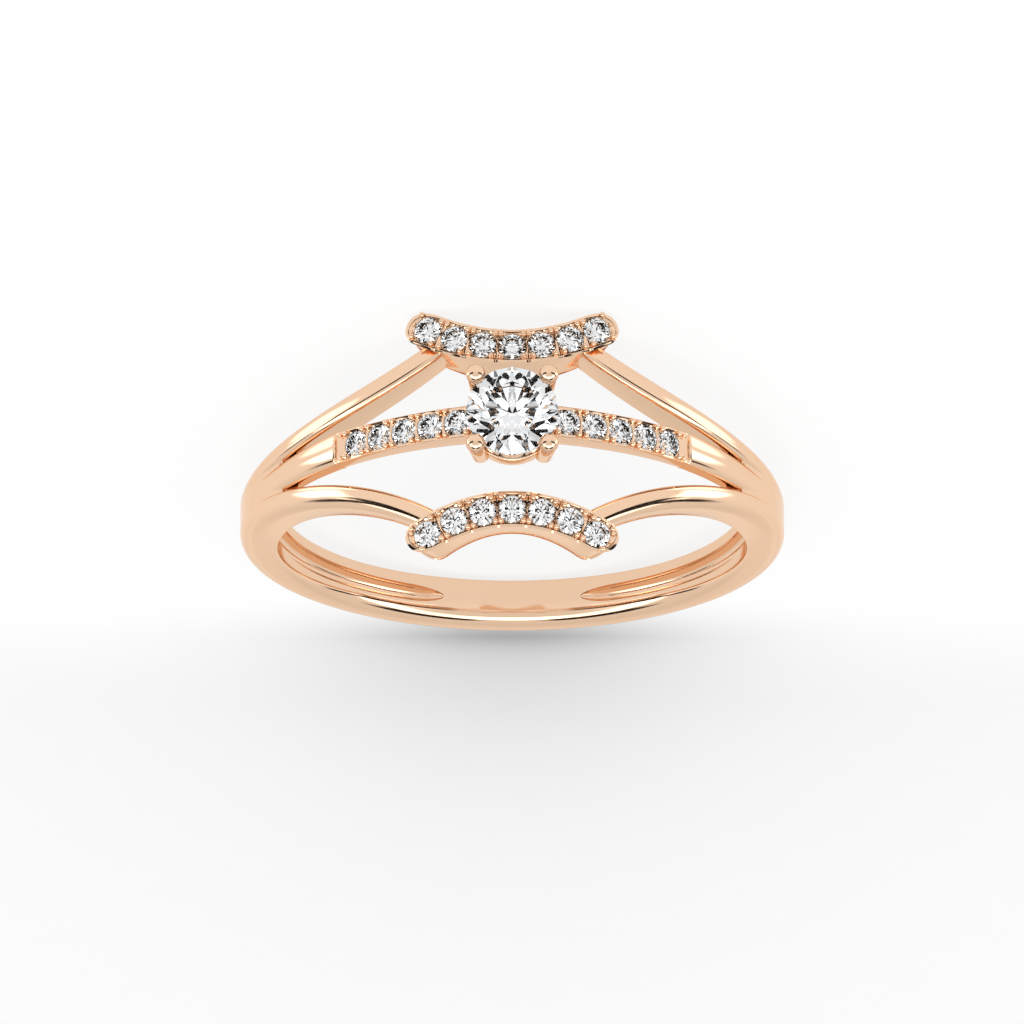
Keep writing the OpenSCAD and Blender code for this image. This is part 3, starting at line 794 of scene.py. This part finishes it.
def bar_wall():
    """A bar's walls and underside: rows of the profile, each moved in from the outline."""
    loop, outward = bar_outline()
    slant = np.hypot(1, bar_slope(loop[:, 0]))
    cut_x = loop[:, 0] + bar_slope(loop[:, 0]) * loop[:, 1] / slant ** 2
    drop, cut = bar_rim(cut_x)
    top = -drop - cut
    depth = bar_depth(loop[:, 0], to_finger_hole(loop[:, 0], loop[:, 1]))
    rows = rim_rows(top, 0.6)
    rows += [(0.0, -WALL_FROM - (depth - WALL_FROM - 0.015) * t) for t in (0.0, 0.25, 0.5, 0.75, 1.0)]
    rows += [(0.004, -depth + 0.004), (0.05, -depth)]
    made = []
    for inset, h in rows:
        flare = BAR_FLARE * np.clip(-h / (BAR_TABLE_R - BORE_R), 0, 1) * np.clip(outward[:, 1], None, 0)
        spot = loop - inset * outward + np.stack([0 * flare, flare], -1)
        made.append(bar_surface(spot[:, 0], spot[:, 1], np.broadcast_to(h, len(loop))))
    x = np.clip(loop[:, 0], -BAR_END, BAR_END)
    middle = (bar_low(x) + bar_high(x)) / 2
    made.append(bar_surface(x, middle, -bar_depth(x, to_finger_hole(x, middle))))
    return sheet(np.stack(made), bar_surface(0.0, 0.0, -0.9), close_columns=True)


# %% [markdown]
# The borders of the cells run across the bar at its own slant, and along its two edges. Where an edge runs
# into a tip it turns fast, so its points are set closer there, by a quarter of a sine wave.

# %% Side bars
# Each bead's place along the row from the last stone and across it, its radius and its height.
TIP_BEADS = [(0.5, -0.3, 0.1, 0.1), (0.56, 0.02, 0.08, 0.07)]


def slanted_cut(x, low, high):
    """Border of two bar stones' cells at x, square to the bar's own line in plan."""
    slope = float(bar_slope(x))
    slant = math.hypot(1, slope)
    line, drop, cut = cut_line(x, slope / slant, low, high)
    return line * [1, slant], drop, cut


def along_edge(start, stop, edge, inward):
    """Border of a cell along one edge of the bar, with its points closer at a tip."""
    t = np.linspace(0, 1, 40)
    if abs(stop) > bar_stones[-1]:
        t = np.sin(t * math.pi / 2)
    elif abs(start) > bar_stones[-1]:
        t = 1 - np.cos(t * math.pi / 2)
    x = start + (stop - start) * t
    return (np.stack([x, edge(x) + inward * RIM_IN], -1), *bar_rim(x))


def bar_border(i):
    """The border of a bar stone's cell in x and v, counted round, and how deep its edge dips."""
    half, tip = BAR_W / 2 - RIM_IN, BAR_END - 0.03
    left = [slanted_cut(bar_cuts[i - 1], -half, half)] if i > 0 else []
    right = [slanted_cut(bar_cuts[i], half, -half)] if i < len(bar_cuts) else []
    high_from, low_to = left[0][0][[-1, 0], 0] if left else (-tip, -tip)
    high_to, low_from = right[0][0][[0, -1], 0] if right else (tip, tip)
    high, low = along_edge(high_from, high_to, bar_high, -1), along_edge(low_from, low_to, bar_low, 1)
    loops = left + [high] + right + [low]
    return [np.concatenate([loop[k][:-1] for loop in loops]) for k in range(3)]


def side_bar():
    """One bar: walls, cells and beads, with two small beads more at each tip."""
    sheets = [bar_wall()]
    for i, x in enumerate(bar_stones):
        sheets.append(cell(bar_frame(x), bar_surface, *bar_border(i)))
        sheets += four_beads(bar_frame(x))
    for end, x in ((1, bar_stones[-1]), (-1, bar_stones[0])):
        sheets += [bead(bar_frame(x), end * out, *rest) for out, *rest in TIP_BEADS]
    return sheets


make_piece("front_bar", side_bar(), rose_gold)
make_piece("back_bar", mirrored(side_bar(), [1, 1, -1]), rose_gold)

# %% [markdown]
# ## Middle arms
#
# Each middle arm climbs from the shoulder to the head. Its outer stretch is plain and polished, and ends in
# a small step. From there five stones run up to the centre stone.

# %% Plain stretch of a middle arm
def mid_polished():
    """The plain stretch: a rounded section from the step to the shoulder, its edge at the step softened."""
    q = np.radians([0, 18, 36, 54, 72, 90])
    a = np.concatenate([MID_STEP_A + 0.6 * (1 - np.cos(q)), np.linspace(MID_STEP_A + 0.9, SHOULDER_A, 60)])
    ease = np.concatenate([0.1 * (1 - np.sin(q)), np.zeros(60)])
    top, (corner, width) = mid_top_r(a) - ease, mid_corner(a)
    r, f = quarter(top, mid_half(a) - ease, corner, 1, width)
    under, foot = groove_r(a), np.full_like(a, MID_W / 2 - 0.002)
    sides = columns((under, -foot), (r, -f), (r[:, ::-1], f[:, ::-1]), (under, foot))
    return sheet(polar(a[:, None], *sides), polar(a, (top + under) / 2, 0), close_columns=True, caps=True)


# %% [markdown]
# The set stretch is built like a bar: walls from rim to rim, then a cell and four beads for each stone. Its
# places are angles, so widths in millimetres are turned into degrees first.

# %% Set stretch of a middle arm
MID_MM_PER_DEGREE = 0.195
# As for the bars' tips: along the row, across it, radius and height.
STEP_BEADS = [(0.66, -0.44, 0.1, 0.12), (0.66, 0.44, 0.1, 0.12)]


def mid_rim(a):
    """Drop and cut of a middle arm's rim at an angle."""
    return rim_drop(a, mid_cuts, [MID_STEP_A, MID_START_A], MID_MM_PER_DEGREE)


def mid_wall():
    """Walls and underside of the set stretch, from rim to rim."""
    a = np.linspace(MID_START_A, MID_STEP_A + 0.15, 420)
    drop, cut = mid_rim(a)
    wall = rim_rows(-drop - cut, 0.4)
    deep = groove_r(a) - (mid_table_r(a) - TABLE_PROUD)
    wall += [(0.0, -WALL_FROM + (deep + WALL_FROM + 0.06) * t) for t in (0.0, 0.33, 0.66, 1.0)]
    wall += [(0.018, deep + 0.018), (0.06, deep)]
    half = [mid_surface(a, MID_W / 2 - inset, np.broadcast_to(h, len(a))) for inset, h in wall]
    points = np.stack(half + [p * [1, 1, -1] for p in half[::-1]], 1)
    return sheet(points, polar(a, groove_r(a) + 0.5, 0))


def mid_border(i):
    """The border of an arm stone's cell in angle and offset, counted round, and how deep its edge dips."""
    half = MID_W / 2 - RIM_IN
    first = mid_cuts[i - 1] if i > 0 else MID_START_A
    last = mid_cuts[i] if i < len(mid_cuts) else MID_STEP_A + 0.1
    left, left_drop, left_cut = cut_line(first, 0, -half, half)
    right, right_drop, right_cut = cut_line(last, 0, half, -half)
    along = np.linspace(first, last, 30)
    high = np.stack([along, np.full_like(along, half)], -1)
    low = np.stack([along[::-1], np.full_like(along, -half)], -1)
    drop, cut = mid_rim(along)
    not_first, not_last = i > 0, i < len(mid_cuts)
    loops = [(left, left_drop * not_first, left_cut * not_first), (high, drop, cut),
             (right, right_drop * not_last, right_cut * not_last), (low, drop[::-1], cut[::-1])]
    return [np.concatenate([loop[k][:-1] for loop in loops]) for k in range(3)]


def middle_arm():
    """The middle arm towards +X: its plain stretch, then the walls, cells and beads of its set stretch."""
    sheets = [mid_polished(), mid_wall()]
    for i, a in enumerate(mid_stones):
        sheets.append(cell(mid_frame(a), mid_surface, *mid_border(i)))
        sheets += four_beads(mid_frame(a))
    return sheets + [bead(mid_frame(mid_stones[-1]), *sizes) for sizes in STEP_BEADS]


make_piece("middle_arms", middle_arm() + mirrored(middle_arm(), [-1, 1, 1]), rose_gold)

# %% [markdown]
# ## Head
#
# Four round prongs hold the centre stone, each ending in a ball that is pressed over the stone's edge. A
# rail joins them below the stone. Both are profiles turned about a line, like work on a lathe.

# %% Prongs and rail
PRONG_FOOT_OUT, PRONG_FOOT_R, PRONG_TIP_OUT, PRONG_TIP_R, BALL_R = 1.16, 10.75, 1.34, 12.43, 0.36
RAIL_IN, RAIL_OUT, RAIL_TOP_R, RAIL_LOW_R, RAIL_EDGE = 1.15, 1.6, 11.27, 10.69, 0.08
HEAD_AXIS = np.array([0, -1.0, 0])


def turned(radii, heights, foot, axis, steps):
    """A profile of radii and heights turned about an axis that starts at foot, and its core line."""
    side = unit(np.cross(axis, [0.0, 0.0, 1.0]))
    other = np.cross(axis, side)
    turn = np.radians(np.linspace(0, 360, steps + 1)[:-1])
    ring = np.cos(turn)[:, None] * side + np.sin(turn)[:, None] * other
    rows = foot + np.asarray(radii)[:, None, None] * ring + np.asarray(heights)[:, None, None] * axis
    return rows, foot + np.asarray(heights)[:, None] * axis


def prong(sx, sz):
    """One prong: a rounded foot, a slim stalk, a fine neck and a ball at its tip."""
    foot = np.array([PRONG_FOOT_OUT * sx, -PRONG_FOOT_R, PRONG_FOOT_OUT * sz])
    tip = np.array([PRONG_TIP_OUT * sx, -PRONG_TIP_R, PRONG_TIP_OUT * sz])
    length, r = np.linalg.norm(tip - foot), BALL_R
    q = np.radians(np.linspace(88, 6, 8))
    ball = np.radians(np.linspace(-36, 89, 18))
    stalk_r = r * np.array([0.94, 0.93, 0.9, 0.83])
    stalk_h = [0, 0.5 * length, length - 0.8 * r, length - 0.66 * r]
    radii = np.concatenate([stalk_r[0] * np.cos(q), stalk_r, r * np.cos(ball)])
    heights = np.concatenate([-0.75 * r * np.sin(q), stalk_h, length + r * np.sin(ball)])
    return sheet(*turned(radii, heights, foot, unit(tip - foot), 40), close_columns=True)


def seat_rail():
    """The rail under the centre stone: a rounded box turned about the head's own axis."""
    q = np.radians(np.linspace(0, 90, 6))
    more, less = RAIL_EDGE * (1 - np.cos(q)), RAIL_EDGE * (1 - np.sin(q))
    radii = np.concatenate([RAIL_IN + more, RAIL_OUT - less, RAIL_OUT - more, RAIL_IN + less])
    heights = np.concatenate([RAIL_TOP_R - less, RAIL_TOP_R - more, RAIL_LOW_R + less, RAIL_LOW_R + more])
    middle = [(RAIL_IN + RAIL_OUT) / 2], [(RAIL_TOP_R + RAIL_LOW_R) / 2]
    points, core = (turned(*profile, np.zeros(3), HEAD_AXIS, 96)[0] for profile in ((radii, heights), middle))
    return sheet(points.transpose(1, 0, 2), core[0], close_rows=True, close_columns=True)


make_piece("prongs", [prong(sx, sz) for sx in (1, -1) for sz in (1, -1)], rose_gold)
make_piece("seat_rail", [seat_rail()], rose_gold)

# %% [markdown]
# ## Floor
#
# The ring lies on pale paper that glows a little, so its brightness can be set from place to place. Behind
# the band the picture's soft shade is painted into that glow: three parts, each a bell curve across and an
# exponential fall along. Inside the finger hole a faint painted shade makes the paper a hair darker. Painted
# light patches glow in it as well, where the gold mirrors them: a wide one on either side, beyond the
# picture, and a small round one on either side of the head.

# %% Light and shade of the floor
# Each shade: how fast it falls across and along, how dark it is, and between which depths it comes in.
SHADES = [(48000.0, 1160.0, 0.34, 0.0100, 0.0135),
          (16000.0, 165.0, 0.33, 0.0100, 0.0135),
          (1200.0, 34.0, 0.14, 0.0095, 0.0185)]
BAND_BACK, HOLE_MIDDLE = 0.013, 0.004
HOLE_FALL, HOLE_DARK = 16000.0, 0.085
PAPER_GLOW, PAINTED_WIDE_GLOW, PAINTED_ROUND_GLOW, GLOW_SCALE = 0.285, 0.5, 0.35, 3.0

floor_material, bench, place = new_material("pale_floor")
grain = bench.noise(place, 800.0, 2.0)
across, depth = bench.parts(place)[:2]
broad, past, inward = across * across, bench.maths("MAXIMUM", depth - BAND_BACK, 0.0), depth - HOLE_MIDDLE
# Painted shade: the paper inside the finger hole is a hair darker, then the painted shadow behind the band.
shade = bench.fade((broad + inward * inward) * -HOLE_FALL) * HOLE_DARK
for narrow, short, dark, first, whole in SHADES:
    shade = shade + bench.fade(broad * -narrow - past * short) * dark * depth.between(first, whole)
# Painted light: brighter patches in the floor's glow, a wide pair beside the ring and a small round pair by
# the head, for the gold to mirror.
out = abs(across)
slope = bench.maths("DIVIDE", depth + 0.006, out)
painted_wide_glow = abs(slope + 0.05).between(0.15, 0.25, 1.0, 0.0) * out.between(0.0194, 0.022)
beyond, before = out - 0.0132, depth + 0.0077
painted_round_glow = (beyond * beyond + before * before).between(6.0e-6, 16.0e-6, 1.0, 0.0)
glow = (1.0 - shade) * PAPER_GLOW + painted_wide_glow * PAINTED_WIDE_GLOW + painted_round_glow * PAINTED_ROUND_GLOW
paper = bench.mix(glow, (0.0, 0.0, 0.0), (GLOW_SCALE, GLOW_SCALE, GLOW_SCALE))
fibre = bench.mix(grain, (0.11, 0.11, 0.11), (0.12, 0.12, 0.12))
matt = bench.node("ShaderNodeBsdfPrincipled", None, {
    "Base Color": fibre, "Roughness": 0.9, "Specular IOR Level": 0.0,
    "Emission Color": paper, "Emission Strength": 1.0})
bench.node("ShaderNodeOutputMaterial", None, {"Surface": matt})
print("floor material made of", len(SHADES), "shades and two pairs of painted_glow_patches")

# %% [markdown]
# The floor's mesh is a disk of five rings, each at least ten times as wide as the last, out to 20 metres.

# %% Floor
turn = np.radians(np.arange(0, 360, 5))
ring = np.stack([np.cos(turn), np.sin(turn), np.zeros(len(turn))], -1)
rings = np.array([0.001, 0.02, 0.2, 2.0, 20.0])[:, None, None] * ring + [0, 0, REST_LOW * MM]
floor_faces = grid_faces(len(rings), len(turn), close_columns=True).tolist() + [list(range(len(turn)))]
floor_mesh = bpy.data.meshes.new("floor")
floor_mesh.from_pydata(rings.reshape(-1, 3), [], floor_faces)
floor_mesh.materials.append(floor_material)
add_object("floor", floor_mesh)
print("floor at", REST_LOW, "mm")

# %% [markdown]
# ## The tent round the gold
#
# Polished gold shows nothing but its surroundings, so a white tent is the real lighting. A jewellery
# photographer leaves dark gaps between white panels, and they become the thin black lines along the edges.
# Here a dark arch stands over the ring from left to right, and dark ledges lie low at the sides. A bright
# crown and its flanks stand over the head. All of it is worked out from the direction that is looked in:
# x to the side, y to the band's back and z up, each from -1 to 1.

# %% Tent round the gold
GAP_DARK, CROWN_LIGHT, FLANK_LIGHT, SIDE_LIGHT = 0.99, 4.0, 1.4, 0.5


def near(wire, middle, whole, none):
    """1 while a wire is within whole of a middle value, and 0 once it is further away than none."""
    return abs(wire - middle).between(whole, none, 1.0, 0.0)


world = bpy.data.worlds.new("white_tent")
bpy.context.scene.world = world
world.use_nodes = True
bench = Bench(world.node_tree)
x, y, z = bench.parts(bench.node("ShaderNodeTexCoord", output="Generated"))
aside, above = abs(x), z.between(0.02, 0.12)
arch = near(y, 0.15, 0.14, 0.19) * aside.between(0.10, 0.2) * aside.between(0.6, 0.7, 1.0, 0.0) * above
back_ledge = near(z, 0.2, 0.05, 0.09) * y.between(0.2, 0.42, 1.0, 0.0) * aside.between(0.55, 0.65)
front_ledge = near(z, 0.16, 0.13, 0.19) * y.between(-0.25, -0.05, 1.0, 0.0) * aside.between(0.42, 0.52)
ledge = bench.maths("MAXIMUM", back_ledge, front_ledge)
front = near(y, -0.24, 0.16, 0.2) * above
crown, flanks = aside.between(0.18, 0.30, 1.0, 0.0) * front, aside.between(0.2, 0.3) * front
sides = aside.between(0.5, 0.9) * y.between(-0.1, 0.05, 1.0, 0.0) * above
walls = 0.99 - 0.13 * z.between(0.0, 0.4) - 0.06 * y.between(0.3, 0.9)
light = walls + CROWN_LIGHT * crown + FLANK_LIGHT * flanks + SIDE_LIGHT * sides
light = light * (1.0 - GAP_DARK * arch) * (1.0 - GAP_DARK * ledge)
print("tent for the gold made")

# %% [markdown]
# ## The tent behind the stones
#
# A stone gathers light from all over the tent, and a few long gaps would turn whole facets grey. So light
# that has passed through a stone sees another tent: white, with faint stripes and four pairs of round gaps
# on the side of the camera. Facets that point into a gap turn black, and their neighbours stay white.

# %% Tent behind the stones
TO_CAMERA, PICTURE_UP, FINGER_LINE = (0.0, -0.858, 0.514), (0.0, -0.514, -0.858), (0.0, 0.198, 0.98)
STONE_LIGHT, STONE_FALL, STRIPES, STRIPE_DARK = 1.32, 0.35, 14.0, 0.3
# Each pair of gaps: how far out to the sides, how far along the finger, and its radius.
ROUND_GAPS = [(0.35, 0.0, 0.13), (0.3, 0.3, 0.15), (0.5, 0.45, 0.1), (0.65, 0.55, 0.13)]

along = y * FINGER_LINE[1] + z * FINGER_LINE[2]
facing = (y * TO_CAMERA[1] + z * TO_CAMERA[2]).between(0.0, 0.1)
stripes = bench.maths("SINE", along * STRIPES).between(0.2, 0.5)
inside = (STONE_LIGHT - STONE_FALL * abs(along).between(0.0, 0.9)) * (1.0 - STRIPE_DARK * stripes)
for gap_out, gap_along, radius in ROUND_GAPS:
    sideways, lengthways = aside - gap_out, along - gap_along
    gap = (sideways * sideways + lengthways * lengthways).between(radius ** 2, radius ** 2 + 0.01, 1.0, 0.0)
    inside = inside * (1.0 - gap * facing * GAP_DARK)
through = bench.node("ShaderNodeLightPath", output="Is Transmission Ray")
strength = light * (1.0 - through) + inside * through
tent = bench.node("ShaderNodeBackground", None, {"Color": (1.0, 1.0, 1.0, 1.0), "Strength": strength})
print("tent for the stones made with", len(ROUND_GAPS), "pairs of gaps")

# %% [markdown]
# The camera itself sees a plain backdrop. One soft lamp over the head adds a little light to the paper and
# the stones, and is hidden from the gold, where it would show as a round spot.

# %% Backdrop and lamp
backdrop = bench.node("ShaderNodeBackground", None, {"Color": (1.0, 1.0, 1.0, 1.0), "Strength": 0.98})
direct = bench.node("ShaderNodeLightPath", output="Is Camera Ray")
seen = bench.node("ShaderNodeMixShader", None, {0: direct, 1: tent, 2: backdrop})
bench.node("ShaderNodeOutputWorld", None, {"Surface": seen})

lamp = bpy.data.lights.new("soft_key", "AREA")
lamp.shape, lamp.size, lamp.energy = "DISK", 0.12, 0.12
key = add_object("soft_key", lamp)
key.location = Vector((0.02, -0.16, 0.2))
key.rotation_mode = "QUATERNION"
key.rotation_quaternion = (-key.location).to_track_quat("-Z", "Y")
key.visible_glossy = False
print("backdrop and lamp made")

# %% [markdown]
# ## Camera
#
# The picture looks down on the head from 31 degrees above the floor, with a long lens. The camera is rolled
# half a turn, because the ring lies on its side here and the picture shows it with the head up.

# %% Camera
LENS, CAMERA_AWAY, AIM_UP, AIM_LEFT = 1068.0, 1.125, 0.3704, 0.0074

to_camera, picture_up = Vector(TO_CAMERA).normalized(), Vector(PICTURE_UP).normalized()
picture_right = picture_up.cross(to_camera)
camera_data = bpy.data.cameras.new("camera")
camera_data.sensor_width, camera_data.lens = 36.0, LENS
camera_data.clip_start, camera_data.clip_end = 0.01, 50.0
camera = add_object("camera", camera_data)
aim = MM * (AIM_UP * picture_up - AIM_LEFT * picture_right)
turn_to = Matrix((picture_right, picture_up, to_camera)).transposed().to_4x4()
camera.matrix_world = Matrix.Translation(aim + CAMERA_AWAY * to_camera) @ turn_to
bpy.context.scene.camera = camera
bpy.context.scene.view_settings.view_transform = "Standard"
print("camera", [round(v, 4) for v in camera.location])
